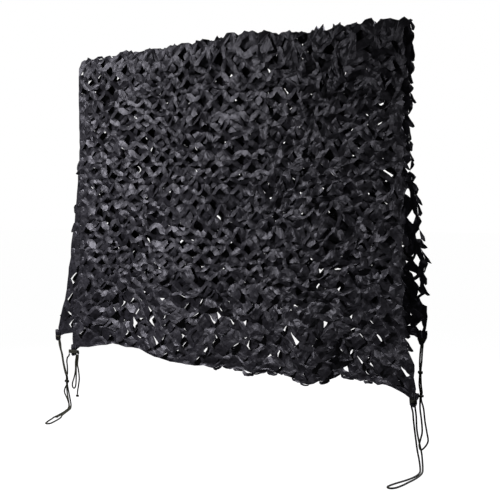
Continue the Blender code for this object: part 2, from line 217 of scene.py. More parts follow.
END_KNOT_TOP = -1.718   # top of the knot that stops the short end
END_LEFT_STOPS = (
    under("knot_front_left", 0.0325),
    below("knot_front_left", 0.0325, 0.014),
    (-0.9870, -0.050, -1.561),
    (-0.9800, -0.050, -1.591),
    (-0.9740, -0.050, -1.633),
    (-0.9800, -0.050, -1.670),
    (-0.9865, -0.050, -1.697),
    (-0.9890, -0.050, END_KNOT_TOP + SEAM_GAP),
)
print("left ties:", len(BACK_LEFT_STOPS), "stops on the longest")

# %% Stops of the right ties
FRONT_RIGHT_STOPS = (
    under("knot_front_right", -0.009),
    below("knot_front_right", -0.009, 0.014),
    (1.0230, -0.048, -1.585),
    (1.0280, -0.050, -1.620),
    (1.0350, -0.053, -1.657),
    (1.0430, -0.056, -1.696),
    (1.0520, -0.060, -1.735),
    (1.0660, -0.068, -1.773),
    (1.0800, -0.084, -1.798),
    (1.0990, -0.116, LYING + 0.001),
    (1.1160, -0.160, LYING),
    (1.1270, -0.215, LYING),
    (1.1290, -0.275, LYING),
    (1.1250, -0.335, LYING),
    (1.1250, -0.386, LYING),
    (1.1330, -0.413, LYING),
    (1.1500, -0.420, LYING),
    (1.1620, -0.400, LYING),
    (1.1620, -0.355, LYING),
    (1.1550, -0.300, LYING),
    (1.1460, -0.235, LYING),
    (1.1290, -0.165, LYING),
    (1.1100, -0.116, LYING + 0.001),
    (1.0900, -0.080, -1.796),
    (1.0780, -0.064, -1.768),
    (1.0700, -0.056, -1.745),
    (1.0610, -0.053, -1.718),
    (1.0500, -0.049, -1.688),
    (1.0410, -0.046, -1.650),
    (1.0380, -0.046, -1.600),
    below("knot_front_right", 0.008, 0.014),
    under("knot_front_right", 0.008),
)

BACK_RIGHT_STOPS = (
    under("knot_back_right", -0.003),
    below("knot_back_right", -0.004, 0.014),
    (1.0070, 0.036, -1.350),
    (1.0080, 0.030, -1.390),
    (1.0114, 0.0255, -1.416),
    (1.0116, 0.0250, -1.430),
    (1.0112, 0.0245, -1.446),
    (1.0120, 0.021, -1.482),
    (1.0240, 0.010, -1.510),
    (1.0256, 0.008, -1.525),
    (1.0250, 0.006, -1.542),
    (1.0290, 0.000, -1.580),
    (1.0390, -0.005, -1.625),
    (1.0450, -0.010, -1.670),
    (1.0420, -0.018, -1.700),
    (1.0400, -0.024, -1.722),
    (1.0480, -0.026, -1.740),
    (1.0620, -0.020, -1.730),
    (1.0740, -0.012, -1.704),
    (1.0640, -0.005, -1.668),
    (1.0520, 0.000, -1.625),
    (1.0440, 0.002, -1.575),
    (1.0310, 0.006, -1.542),
    (1.0304, 0.008, -1.525),
    (1.0310, 0.011, -1.510),
    (1.0210, 0.021, -1.482),
    (1.0168, 0.0245, -1.446),
    (1.0164, 0.0250, -1.430),
    (1.0166, 0.0255, -1.416),
    (1.0170, 0.031, -1.385),
    (1.0160, 0.036, -1.350),
    below("knot_back_right", 0.004, 0.014),
    under("knot_back_right", 0.003),
)
print("right ties:", len(BACK_RIGHT_STOPS), "stops on the longest")

# %% [markdown]
# ## Braided cord
#
# Camouflage nets come with a thin braided cord: a round cord whose strands cross left
# and right in small diamonds. A curve with a bevel would be the quickest tube, but it
# stays perfectly smooth. Here each cord is a mesh tube instead: a ring of points every
# millimetre or so, with the radius raised where a strand passes over. The rings turn
# with the route, without twisting, because each one is carried over from the last.

# %% A smooth route through the stops
RING_STEP = 0.0012      # distance between the rings of a cord
ROUTE_PARTS = 24        # short stretches from one stop to the next
FEWEST_RINGS = 6


def smooth_route(stops):
    """Evenly spaced points on a smooth curve through the stops, and the curve's length."""
    places = [Vector(stop) for stop in stops]
    padded = [2 * places[0] - places[1]] + places + [2 * places[-1] - places[-2]]
    fine = []
    for index in range(1, len(padded) - 2):
        a, b, c, d = padded[index - 1:index + 3]
        for part in range(ROUTE_PARTS):
            t = part / ROUTE_PARTS
            fine.append(0.5 * (2 * b + (c - a) * t
                               + (2 * a - 5 * b + 4 * c - d) * t * t
                               + (3 * b - a - 3 * c + d) * t * t * t))
    fine.append(places[-1])
    travelled = [0.0]
    for first, second in zip(fine, fine[1:]):
        travelled.append(travelled[-1] + (second - first).length)
    count = max(FEWEST_RINGS, round(travelled[-1] / RING_STEP))
    even = []
    at = 0
    for index in range(count):
        goal = travelled[-1] * index / (count - 1)
        while at < len(fine) - 2 and travelled[at + 1] < goal:
            at += 1
        part = (goal - travelled[at]) / (travelled[at + 1] - travelled[at])
        even.append(fine[at].lerp(fine[at + 1], part))
    return even, travelled[-1]


print("the shortest tie needs", len(smooth_route(END_LEFT_STOPS)[0]), "rings")

# %% The relief of the braid
CORD_RADIUS = 0.0038
BRAID_PITCH = 0.014     # length of one full turn of a strand round the cord
BRAID_STRANDS = 3       # strands that turn the same way
BRAID_RELIEF = 0.00028
BRAID_LEVEL = 0.6       # where on its waves the cord has its plain radius


def braid(along, turn):
    """How far a strand of the braid lifts the surface at one place."""
    right = math.cos(BRAID_STRANDS * (turn + 2 * math.pi * along / BRAID_PITCH))
    left = math.cos(BRAID_STRANDS * (turn - 2 * math.pi * along / BRAID_PITCH))
    return BRAID_RELIEF * (max(right, left) - BRAID_LEVEL)


print("over its high places the cord is", round(2000 * (CORD_RADIUS + braid(0, 0)), 1), "mm thick")

# %% A braided tube along a route
RING_SIDES = 12
END_TAPER = 0.78        # the first and the last ring are smaller, which rounds the ends
FIRST_SIDE = (0.37, 0.61, 0.70)     # any direction that no cord starts along


def join_rings(mesh, rings):
    """Faces between each ring of points and the next one."""
    for first, second in zip(rings, rings[1:]):
        for index in range(len(first)):
            following = (index + 1) % len(first)
            mesh.faces.new((first[index], first[following], second[following], second[index]))


def new_piece(name, mesh):
    """A piece of the scene, made from a finished mesh."""
    data = bpy.data.meshes.new(name)
    mesh.to_mesh(data)
    mesh.free()
    piece = bpy.data.objects.new(name, data)
    bpy.context.scene.collection.objects.link(piece)
    return piece


def tube(name, points, radius):
    """A braided tube with rounded ends along evenly spaced points."""
    mesh = bmesh.new()
    rings = []
    side = Vector(FIRST_SIDE)
    along = 0.0
    for index, point in enumerate(points):
        before = points[max(index - 1, 0)]
        after = points[min(index + 1, len(points) - 1)]
        ahead = (after - before).normalized()
        side = (side - side.dot(ahead) * ahead).normalized()
        other = ahead.cross(side)
        if index > 0:
            along += (point - points[index - 1]).length
        taper = END_TAPER if index in (0, len(points) - 1) else 1.0
        ring = []
        for corner in range(RING_SIDES):
            turn = 2 * math.pi * corner / RING_SIDES
            reach = (radius + braid(along, turn)) * taper
            sideways = side * math.cos(turn) + other * math.sin(turn)
            ring.append(mesh.verts.new(point + reach * sideways))
        rings.append(ring)
    join_rings(mesh, rings)
    mesh.faces.new(list(reversed(rings[0])))
    mesh.faces.new(rings[-1])
    piece = new_piece(name, mesh)
    piece.data.shade_smooth()
    return piece


print("a ring of", RING_SIDES, "points every", RING_STEP * 1000, "mm")

# %% Make the six ties
Tie = namedtuple("Tie", "node stops far_end lay on_it")
TIES = (
    Tie("tie_back_left", BACK_LEFT_STOPS, "object", "loose", ("knot_back_left", "knot_join_left")),
    Tie("tie_side_left", SIDE_LEFT_STOPS, "knot", "loose", ("knot_end_floor",)),
    Tie("tie_loop_left", LOOP_LEFT_STOPS, "object", "hanging", ("knot_front_left",)),
    Tie("tie_end_left", END_LEFT_STOPS, "knot", "hanging", ("knot_end_left",)),
    Tie("tie_front_right", FRONT_RIGHT_STOPS, "object", "loose", ("knot_front_right",)),
    Tie("tie_back_right", BACK_RIGHT_STOPS, "object", "hanging",
        ("knot_back_right", "knot_slide_right", "knot_low_right")),
)
tie_pieces = {}
tie_lines = {}
for tie in TIES:
    points, length = smooth_route(tie.stops)
    piece = tube(tie.node + "_cord", points, CORD_RADIUS)
    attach(piece, "root")
    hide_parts(tie.node)
    tie_pieces[tie.node] = piece
    tie_lines[tie.node] = (points, length)
    print(tie.node, "is", round(length, 3), "m long")

# %% [markdown]
# ## Wound knots
#
# Each corner is tied by winding the cord several times round a gathered corner of the
# net, and smaller knots hold two cords together or stop a cord's end. All of them are
# turns of the same cord lying side by side, so a helix is the natural way to draw them.
# The helix wanders a little, as hand-wound turns do. Its size is read from the measured
# model's knot.

# %% A cord wound round and round
WOUND_RADIUS = 0.0030   # a cord pulled tight is a little thinner
TURN_STEP = 0.0046      # from one turn of cord to the next
TURN_POINTS = 28        # points on one turn
FEWEST_TURNS = 3
UNEVEN_TURN = 0.0022    # how far hand-wound turns wander up and down
SMALL_KNOT = 0.012      # they wander less in a knot narrower than this
SQUEEZE = 0.12          # how much tighter a turn may be, as a share
NOISE_RISE = 0.8        # how fast the wandering changes from turn to turn
NOISE_APART = 7         # how far apart in the noise two knots are


def winding(node, number):
    """The line of a cord wound round and round inside a knot's box."""
    low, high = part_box(node)
    size = Vector(high) - Vector(low)
    wide = size.x / 2 - WOUND_RADIUS / 3
    deep = size.y / 2 - WOUND_RADIUS / 3
    run = size.z - 2 * WOUND_RADIUS
    turns = max(FEWEST_TURNS, round(run / TURN_STEP))
    steps = turns * TURN_POINTS
    line = []
    for step in range(steps + 1):
        turn = 2 * math.pi * step / TURN_POINTS
        part = step / steps
        level = part * turns * NOISE_RISE + number * NOISE_APART
        stray = noise.noise_vector(Vector((math.cos(turn), math.sin(turn), level)))
        height = (part - 0.5) * run + UNEVEN_TURN * stray.z * min(1.0, wide / SMALL_KNOT)
        tight = 1 - SQUEEZE * abs(stray.x)
        local = Vector((wide * tight * math.cos(turn), deep * tight * math.sin(turn), height))
        line.append(middle(node) + local)
    return line, turns


print("turns of cord lie", TURN_STEP * 1000, "mm apart")

# %% Wind the nine knots
KNOTS = (
    "knot_front_left",
    "knot_back_left",
    "knot_front_right",
    "knot_back_right",
    "knot_join_left",
    "knot_slide_right",
    "knot_low_right",
    "knot_end_left",
    "knot_end_floor",
)
knot_pieces = {}
for number, node in enumerate(KNOTS):
    line, turns = winding(node, number)
    piece = tube(node + "_winding", line, WOUND_RADIUS)
    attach(piece, "root")
    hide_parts(node)
    knot_pieces[node] = piece
    print(node, "has", turns, "turns of cord")

# %% [markdown]
# ## Each cord's line and length
#
# The line that each tube was made along, and its length, are looked up for each tie.
# A braided cord gives when it is squeezed, so it is called 7 mm thick, a little less
# than the tube is.

# %% Look up each cord's line and length
for tie in TIES:
    points, length = tie_lines[tie.node]
print(len(TIES), "cords declared")

# %% [markdown]
# ## How the net hangs
#
# The flat net is a lattice: 19 repeats across and 31 down, 17 of them in front of the
# fold. Short tables say where the side edges and the hems of each layer hang, how high
# the leaves stand over the line, how far each layer is from it, and where the soft
# vertical folds run. Any place of the flat net, given as a column and a row, is then
# turned into its hanging place by one function. That is quicker and steadier than a
# cloth simulation, and it keeps the outline where the measured model has it.

# %% How many repeats the net has
COLUMNS = 19
FRONT_ROWS = 17
BACK_ROWS = 14
LEAF_WIDTH = 0.106      # one repeat across, metres
LEAF_HEIGHT = 0.090     # one repeat down
print("front layer", FRONT_ROWS, "repeats long, back layer", BACK_ROWS)

# %% Where the side edges hang
Edge = namedtuple("Edge", "depth left right")       # depth is metres below the line
FRONT_EDGES = (
    Edge(0.00, -0.990, 0.960),
    Edge(0.30, -0.978, 0.944),
    Edge(0.60, -0.974, 0.958),
    Edge(0.90, -0.972, 0.966),
    Edge(1.15, -0.984, 0.964),
    Edge(1.33, -1.012, 1.002),
    Edge(1.50, -1.030, 1.038),
)
BACK_EDGES = (
    Edge(0.00, -0.990, 0.960),
    Edge(0.10, -1.022, 0.958),
    Edge(0.34, -1.046, 0.948),
    Edge(0.60, -1.063, 0.960),
    Edge(0.76, -1.082, 0.992),
    Edge(0.92, -1.118, 1.006),
    Edge(1.05, -1.137, 1.018),
    Edge(1.20, -1.162, 1.038),
    Edge(1.30, -1.198, 1.022),
    Edge(1.42, -1.238, 1.010),
)
print("at the line the net is", round(FRONT_EDGES[0].right - FRONT_EDGES[0].left, 3), "m wide")

# %% Where the hems hang
Hem = namedtuple("Hem", "across depth")             # across is 0 left, 1 right
FRONT_HEM = (
    Hem(0.00, 1.480),
    Hem(0.06, 1.466),
    Hem(0.15, 1.436),
    Hem(0.21, 1.440),
    Hem(0.28, 1.472),
    Hem(0.36, 1.490),
    Hem(0.47, 1.500),
    Hem(0.53, 1.486),
    Hem(0.57, 1.502),
    Hem(0.62, 1.484),
    Hem(0.68, 1.492),
    Hem(0.74, 1.526),
    Hem(0.82, 1.474),
    Hem(0.90, 1.480),
    Hem(0.94, 1.488),
    Hem(1.00, 1.526),
)
BACK_HEM = (
    Hem(0.00, 1.426),
    Hem(0.05, 1.420),
    Hem(0.12, 1.340),
    Hem(0.20, 1.215),
    Hem(0.34, 1.180),
    Hem(0.56, 1.188),
    Hem(0.76, 1.180),
    Hem(0.90, 1.215),
    Hem(0.96, 1.290),
    Hem(1.00, 1.282),
)
print("the front hem hangs as low as", max(hem.depth for hem in FRONT_HEM), "m")

# %% How the cloth rises over the line and parts below it
Ridge = namedtuple("Ridge", "across height")        # leaf tips above the line
RIDGES = (
    Ridge(0.00, 0.022),
    Ridge(0.15, 0.028),
    Ridge(0.30, 0.040),
    Ridge(0.45, 0.047),
    Ridge(0.51, 0.058),
    Ridge(0.58, 0.055),
    Ridge(0.66, 0.045),
    Ridge(0.76, 0.032),
    Ridge(0.90, 0.042),
    Ridge(1.00, 0.034),
)
RIDGE_ROWS = 1.6        # how many repeats down the rise of the fold fades out
RIDGE_CLOTH = 0.95      # share of the rise that the cloth has without its leaves
RIDGE_BUMP = 0.010      # unevenness of the fold, metres
RIDGE_BUMPS = 1.9       # how fast it changes from one repeat to the next
RIDGE_NOISE = (4.4, 0.3)    # where in the noise it is read

Spread = namedtuple("Spread", "fall front back")    # layers' distance from the line
SPREADS = (
    Spread(0.000, 0.000, 0.000),
    Spread(0.030, 0.024, 0.024),
    Spread(0.060, 0.030, 0.029),
    Spread(0.250, 0.036, 0.032),
    Spread(1.000, 0.040, 0.036),
)
print("the layers hang up to", round(SPREADS[-1].front + SPREADS[-1].back, 3), "m apart")

# %% Where the cloth hangs in folds
# Across and half_width are shares of the width, and begins is a share of the drop.
Fold = namedtuple("Fold", "across half_width reach begins")     # reach in metres, out or in
FRONT_FOLDS = (
    Fold(0.00, 0.09, 0.010, 0.70),
    Fold(0.15, 0.10, -0.016, 0.45),
    Fold(0.34, 0.13, 0.015, 0.30),
    Fold(0.53, 0.06, -0.012, 0.60),
    Fold(0.58, 0.05, 0.010, 0.75),
    Fold(0.63, 0.05, -0.010, 0.70),
    Fold(0.74, 0.09, 0.020, 0.35),
    Fold(0.86, 0.09, -0.016, 0.50),
    Fold(1.00, 0.08, 0.008, 0.60),
)
BACK_FOLDS = (
    Fold(0.05, 0.10, -0.012, 0.40),
    Fold(0.22, 0.12, 0.016, 0.30),
    Fold(0.42, 0.12, -0.012, 0.40),
    Fold(0.60, 0.11, 0.014, 0.35),
    Fold(0.80, 0.12, -0.010, 0.40),
    Fold(0.96, 0.07, 0.014, 0.50),
)
print(len(FRONT_FOLDS), "folds in the front layer and", len(BACK_FOLDS), "in the back one")

# %% [markdown]
# ## From a place on the flat net to its hanging place
#
# The tables are read with straight lines between their rows. The short back layer ends
# sooner, so a place's depth is a share of its own layer's hem. The cloth bulges a little
# where a fold runs down it, and more so towards the hem. At a tied corner the cloth is
# drawn in towards the knot. The last function tells which way the cloth faces, because
# leaves stand out in that direction.

# %% Read a table
def read_table(rows, key, column, at):
    """A table's column at a value of its key column, straight between rows."""
    before = rows[0]
    for row in rows:
        if getattr(row, key) >= at:
            span = getattr(row, key) - getattr(before, key)
            part = (at - getattr(before, key)) / span if span > 0 else 0.0
            return (1 - part) * getattr(before, column) + part * getattr(row, column)
        before = row
    return getattr(rows[-1], column)


halfway = read_table(FRONT_HEM, "across", "depth", 0.5)
print("halfway along, the front hem is", round(halfway, 3), "m down")

# %% Swell the cloth along its folds
def soft_step(low, high, value):
    """0 below low, 1 above high, and a smooth rise between."""
    part = min(max((value - low) / (high - low), 0.0), 1.0)
    return part * part * (3 - 2 * part)


def fold_reach(folds, across, fall):
    """How far the hanging folds carry the cloth out at one place."""
    reach = 0.0
    for fold in folds:
        aside = (across - fold.across) / fold.half_width
        if abs(aside) < 1:
            swell = 0.5 + 0.5 * math.cos(math.pi * aside)
            reach += fold.reach * swell * soft_step(fold.begins, 1.0, fall)
    return reach


print("the deepest fold swells by", max(fold.reach for fold in FRONT_FOLDS), "m at the hem")

# %% Turn a place of the flat net into its hanging place
def hang(column, row):
    """Where a place of the flat net comes to lie, without its strands and leaves."""
    across = column / COLUMNS
    front = row >= 0
    rows = FRONT_ROWS if front else BACK_ROWS
    fall = abs(row) / rows
    hem = read_table(FRONT_HEM if front else BACK_HEM, "across", "depth", across)
    edges = FRONT_EDGES if front else BACK_EDGES
    depth = fall * hem
    left = read_table(edges, "depth", "left", depth)
    right = read_table(edges, "depth", "right", depth)
    spread = read_table(SPREADS, "fall", "front" if front else "back", fall)
    out = spread + fold_reach(FRONT_FOLDS if front else BACK_FOLDS, across, fall)
    rise = RIDGE_CLOTH * read_table(RIDGES, "across", "height", across)
    bump = RIDGE_BUMP * noise.noise(Vector((column * RIDGE_BUMPS, *RIDGE_NOISE)))
    z = (rise + bump) * soft_step(RIDGE_ROWS, 0.0, abs(row)) - depth
    return Vector((left + across * (right - left), -out if front else out, z))


print("bottom left corner hangs at", [round(x, 3) for x in hang(0, FRONT_ROWS)])

# %% Draw the corners in and find which way the cloth faces
GATHER_REACH = 0.6      # repeats from a corner that its knot draws in
NEARBY = 0.05           # repeats between the places that give a slope
CORNER_KNOTS = {
    (0, 1): "knot_front_left",
    (0, -1): "knot_back_left",
    (COLUMNS, 1): "knot_front_right",
    (COLUMNS, -1): "knot_back_right",
}


def rows_from_hem(row):
    """How many repeats a row is above its own hem."""
    return FRONT_ROWS - row if row >= 0 else row + BACK_ROWS


def gather(column, row):
    """The hanging place, with each corner drawn together into its knot."""
    place = hang(column, row)
    aside = min(column, COLUMNS - column)
    pull = soft_step(GATHER_REACH, 0.0, aside) * soft_step(GATHER_REACH, 0.0, rows_from_hem(row))
    if pull > 0:
        corner = (0 if column < COLUMNS / 2 else COLUMNS, 1 if row >= 0 else -1)
        place = place.lerp(middle(CORNER_KNOTS[corner]), pull)
    return place


def outward(column, row):
    """The direction that the cloth's outer face looks in."""
    across = hang(column + NEARBY, row) - hang(column - NEARBY, row)
    down = hang(column, row + NEARBY) - hang(column, row - NEARBY)
    return down.cross(across).normalized()


print("the front layer's middle faces", [round(x, 2) for x in outward(COLUMNS / 2, FRONT_ROWS / 2)])

# %% [markdown]
# ## Strands, windows and leaves
#
# When the cut cloth is pulled open, the strips between the cuts become zigzag strands.
# Each strand tips a little, so its face looks up and catches the light, and its edge
# throws a shadow into the window beside it. One repeat is a diamond: a window in the
# middle with a ring of strand round it, shared with the four neighbours.
#
# It could be one small tile copied by an Array modifier, but every tile would then be
# alike, and this cloth isn't. So the diamonds are made one by one in a loop, and they
# share the points where strands meet. The net is drawn flat first, in columns and rows,
# with the third number as the height over the cloth in metres.
#
# In the photo the strands are tidy on the left and muddled on the right, near the fold
# and along the ties. One function says how tidy each place is, and others keep the edges
# and the tied corners quiet.

# %% Keep the edges and the tied corners quiet
CORNER_CALM = 1.2       # repeats round a tied corner that stay calm
EDGE_FREE = 0.3         # share of its straying that cloth keeps on an edge
SIDE_CALM = 0.8         # repeats from a side over which it gets all of it
HEM_CALM = 0.9          # and from a hem


def near_corner(column, row):
    """0 at a tied corner, 1 away from it."""
    aside = min(column, COLUMNS - column)
    return soft_step(0.0, CORNER_CALM, math.hypot(aside, rows_from_hem(row)))


def soft_edge(column, row):
    """How free the cloth is to stray sideways and up or down: less along its edges."""
    free = near_corner(column, row)
    aside = soft_step(0.0, SIDE_CALM, min(column, COLUMNS - column))
    upright = soft_step(0.0, HEM_CALM, rows_from_hem(row))
    aside = EDGE_FREE + (1 - EDGE_FREE) * aside
    upright = EDGE_FREE + (1 - EDGE_FREE) * upright
    return free * aside, free * upright


print("how free the left edge is:", [round(x, 2) for x in soft_edge(0, 8)])

# %% Say how tidy each place is
TIDY_LOST = 0.6         # order that is lost towards the right
TIDY_RIGHT = (0.5, 0.9)     # from where to where it is lost, as shares of the width
TIDY_TOP = 0.5          # share of its order that the fold keeps
TIDY_ROWS = (0.6, 2.2)  # rows below the fold over which the rest comes
PATCH_LEVEL = 0.74      # order of a plain patch
PATCH_DIFFERS = 0.8     # and how much patches differ
PATCH_FINE = 0.31       # how fast they change from one repeat to the next
PATCH_NOISE = 8.8       # where in the noise they are read


def in_noise(column, row, fine, level):
    """Where in the noise a place of the flat net is read."""
    return Vector((column * fine, row * fine, level))


def order(column, row):
    """1 where the strands lean in tidy rows, less where they are muddled."""
    tidy = 1.0 - TIDY_LOST * soft_step(*TIDY_RIGHT, column / COLUMNS)
    tidy *= TIDY_TOP + (1 - TIDY_TOP) * soft_step(*TIDY_ROWS, abs(row))
    patch = noise.noise(in_noise(column, row, PATCH_FINE, PATCH_NOISE))
    return min(max(tidy * (PATCH_LEVEL + PATCH_DIFFERS * patch), 0.0), 1.0)


print("order at the left:", round(order(4, 8), 2), "and at the right:", round(order(17, 8), 2))

# %% [markdown]
# ## The points that windows share
#
# Neighbouring windows have the same strand between them, so the strand's points are
# made once, kept by their column and row, and looked up after that. The lean of each
# strand is kept in the same way.
#
# The front layer and the back layer meet on the fold. Both ask for the same chances for
# the same place, so they agree there and no gap opens along the line. In these chances
# and in the noise, the back layer's rows count as below zero.

# %% A layer in the making, and chances that belong to a place
class Sheet:
    """One layer of the net, drawn flat. Rows count from the fold down to its hem."""

    def __init__(self, side, seed):
        self.side = side                # 1 for the front layer, -1 for the back one
        self.chance = random.Random(seed)
        self.mesh = bmesh.new()
        self.shared = {}                # the points that windows share
        self.leans = {}                 # and the lean of each strand, in radians


COLUMN_KEY = 2000       # these three make a number of its own for every place
ROW_KEY = 4
FIRST_KEY = 9000


def chances_at(column, row):
    """Three chances from -1 to 1 that are always the same for a place."""
    local = random.Random(round(COLUMN_KEY * column) + round(ROW_KEY * row) + FIRST_KEY)
    return Vector([local.uniform(-1, 1) for _ in range(3)])


print("chances at one place:", [round(x, 2) for x in chances_at(9, 4)])

# %% The points where four strands meet
PLEAT = 0.002           # how far the meeting points stand out or in, by turns
UNEVEN = 0.008          # unevenness of their height, metres
WANDER = 0.15           # how far each of them strays, in repeats
WANDER_MUDDLED = 1.35   # times that where there is no order, 0.35 where there is full order
DRIFT = 0.35            # how far whole neighbourhoods are drawn aside
DRIFT_FINE = 0.33       # how fast that changes from one repeat to the next
DRIFT_NOISE = 5.2       # where in the noise it is read
TALL = 0.02             # how much taller the rows that look up are, in repeats


def meeting(sheet, column, row):
    """The point where four strands meet."""
    key = (column, row)
    if key not in sheet.shared:
        signed = row * sheet.side
        drift = noise.noise_vector(in_noise(column, signed, DRIFT_FINE, DRIFT_NOISE))
        aside, upright = soft_edge(column, signed)
        whole = 1 if row % 1 == 0 else -1
        stray = (WANDER_MUDDLED - order(column, signed)) * chances_at(column, signed)
        down = sheet.side * (WANDER * stray.y + DRIFT * drift.y) + whole * TALL * min(row, 1.0)
        sheet.shared[key] = sheet.mesh.verts.new((
            column + aside * (WANDER * stray.x + DRIFT * drift.x),
            row + upright * down,
            (whole * PLEAT + UNEVEN * stray.z) * aside * upright,
        ))
    return sheet.shared[key]


print("meeting points stray by up to", round(WANDER * WANDER_MUDDLED, 2), "of a repeat")

# %% How far a strand leans
LEAN = 20.0             # degrees that the strands look up
LEAN_DIFFERS = 15.0     # one row more and the next row less, by turns
LEAN_FINE = 0.28        # how fast it changes which of the two rows looks up more
LEAN_NOISE = 2.6        # where in the noise that is read
LEAN_CLEAR = 2.6        # makes the change from the one to the other short
LEAN_BY_CHANCE = 42.0   # degrees
LEAN_MUDDLED = 1.25     # times that where there is no order, 0.25 where there is full order


def strand_lean(sheet, column, row):
    """How far a strand looks up, in radians. It takes one of the layer's chances."""
    signed = row * sheet.side
    patch = LEAN_CLEAR * noise.noise(in_noise(column, signed, LEAN_FINE, LEAN_NOISE))
    favoured = patch if row % 1 > 0.5 else -patch
    steady = LEAN + LEAN_DIFFERS * min(max(favoured, -1.0), 1.0)
    tidy = order(column, signed)
    aside, upright = soft_edge(column, signed)
    lean = steady * tidy + LEAN_BY_CHANCE * (LEAN_MUDDLED - tidy) * sheet.chance.uniform(-1, 1)
    return math.radians(lean) * aside * upright


print("strands look up by", LEAN, "degrees, give or take", LEAN_DIFFERS, "and then some chance")

# %% The middles of the strands
STRAND_WANDER = 0.03    # how far a strand's middle strays, in repeats
STRAND_UNEVEN = 0.4     # its unevenness, as a share of the meeting points'
FRAY = 0.13             # how ragged the edges are, in repeats
LEFT_FRAY = 0.4         # times that on the left
SIDE_FRAY = (0.3, 0.9)  # the steady part of it and the part by chance, on the sides
HEM_FRAY = (-0.2, 0.8)  # and on the hems


def fray(place, first, second, stray, free):
    """Draw the middle of a strand that lies on an edge out or in."""
    if first[0] == second[0]:               # along a side edge
        steady, by_chance = SIDE_FRAY
        outwards = 1 if first[0] > 0 else -LEFT_FRAY
        place.x += outwards * FRAY * (steady + by_chance * stray.y) * free
    elif first[1] == second[1]:             # along the hem
        steady, by_chance = HEM_FRAY
        place.y += FRAY * (steady + by_chance * stray.x) * free


def between(sheet, first, second):
    """The middle of the strand between two meeting points, and the strand's lean."""
    column, row = key = ((first[0] + second[0]) / 2, (first[1] + second[1]) / 2)
    if key not in sheet.shared:
        signed = row * sheet.side
        aside, upright = soft_edge(column, signed)
        stray = chances_at(column, signed)
        place = (meeting(sheet, *first).co + meeting(sheet, *second).co) / 2
        place.x += STRAND_WANDER * stray.x * aside
        place.y += STRAND_WANDER * stray.y * upright * sheet.side
        place.z += STRAND_UNEVEN * UNEVEN * stray.z * aside * upright
        fray(place, first, second, stray, near_corner(column, signed))
        sheet.shared[key] = sheet.mesh.verts.new(place)
        sheet.leans[key] = strand_lean(sheet, column, row)
    return sheet.shared[key], sheet.leans[key]


print("edges are ragged by about", round(FRAY * LEAF_WIDTH * 1000), "mm")

# %% [markdown]
# ## A leaf
#
# The cloth that was cut out of a window isn't lost. It stays joined along one side, as a
# leaf. Here a leaf is a strip of six small faces: it starts on one side of the window,
# its root, and is carried over towards the opposite side. So a leaf fits its own window,
# however crooked that is. It may rise from the cloth, bend, droop, turn aside or twist,
# and it may reach past the window or stop short of it and let the light through. Skew
# makes one side of it longer than the other, and tuck sets it behind the strands.
#
# Leaves have to be real faces, not a bump or a cut-out picture, because they throw
# shadows, they show along the outline, and bright specks shine between them.

# %% From repeats to metres and back
def in_metres(step):
    """A step in columns and rows as a step in metres."""
    return Vector((step.x * LEAF_WIDTH, step.y * LEAF_HEIGHT, step.z))


def in_repeats(step):
    """A step in metres as a step in columns and rows."""
    return Vector((step.x / LEAF_WIDTH, step.y / LEAF_HEIGHT, step.z))


print("one repeat is", [round(x, 3) for x in in_metres(Vector((1.0, 1.0, 0.0)))[:2]], "m")

# %% The shape of a leaf
LEAF_PARTS = (0.14, 0.58, 1.0)          # how far along the leaf its points are
Leaf = namedtuple("Leaf", "rise bend reach skew droop turn twist tuck widths")


def add_leaf(sheet, root, opposite, leaf):
    """A tongue of cloth that leaves its root and reaches towards the opposite side."""
    near = [in_metres(vert.co) for vert in root]
    far = [in_metres(place) for place in opposite]
    length = (far[1] - near[1]).length * leaf.reach
    sideways = (near[2] - near[0]).normalized()
    before = root
    for part, width in zip(LEAF_PARTS, leaf.widths):
        angle = math.radians(leaf.rise) + leaf.bend * part
        line = []
        for start, end, skew in zip(near, far, (-leaf.skew, 0.0, leaf.skew)):
            line.append(start.lerp(end, part * (leaf.reach + skew) * math.cos(angle)))
        shift = sideways * (leaf.turn * length * part)
        shift.y += sheet.side * leaf.droop * length * part
        height = near[1].z + length * part * math.sin(angle) - leaf.tuck
        current = []
        for place, twist in zip(line, (-leaf.twist, 0.0, leaf.twist)):
            half = (place - line[1]).length
            place = line[1] + (place - line[1]) * width + shift
            place.z = height + twist * half * part
            current.append(sheet.mesh.verts.new(in_repeats(place)))
        for index in range(2):
            corners = (before[index], before[index + 1], current[index + 1], current[index])
            sheet.mesh.faces.new(corners)
        before = current


print("a leaf has", 2 * len(LEAF_PARTS), "faces before the cloth is made finer")

# %% [markdown]
# ## Kinds of leaf
#
# No two leaves lie alike, but they fall into a few kinds. Most sit snugly in their
# window, a little behind the strands, with a dark gap round them. Some stand proud like
# scales, more of them on the right. Below the short back layer there is one layer of
# cloth only: most leaves cover their window there, and the ones that stand open let the
# white behind shine through. Each kind is a row of a table that gives the range of every
# measure, and each leaf takes its own value in that range. A rise is in degrees, a bend
# in radians, a tuck in metres, and the rest are shares of the leaf or its window.

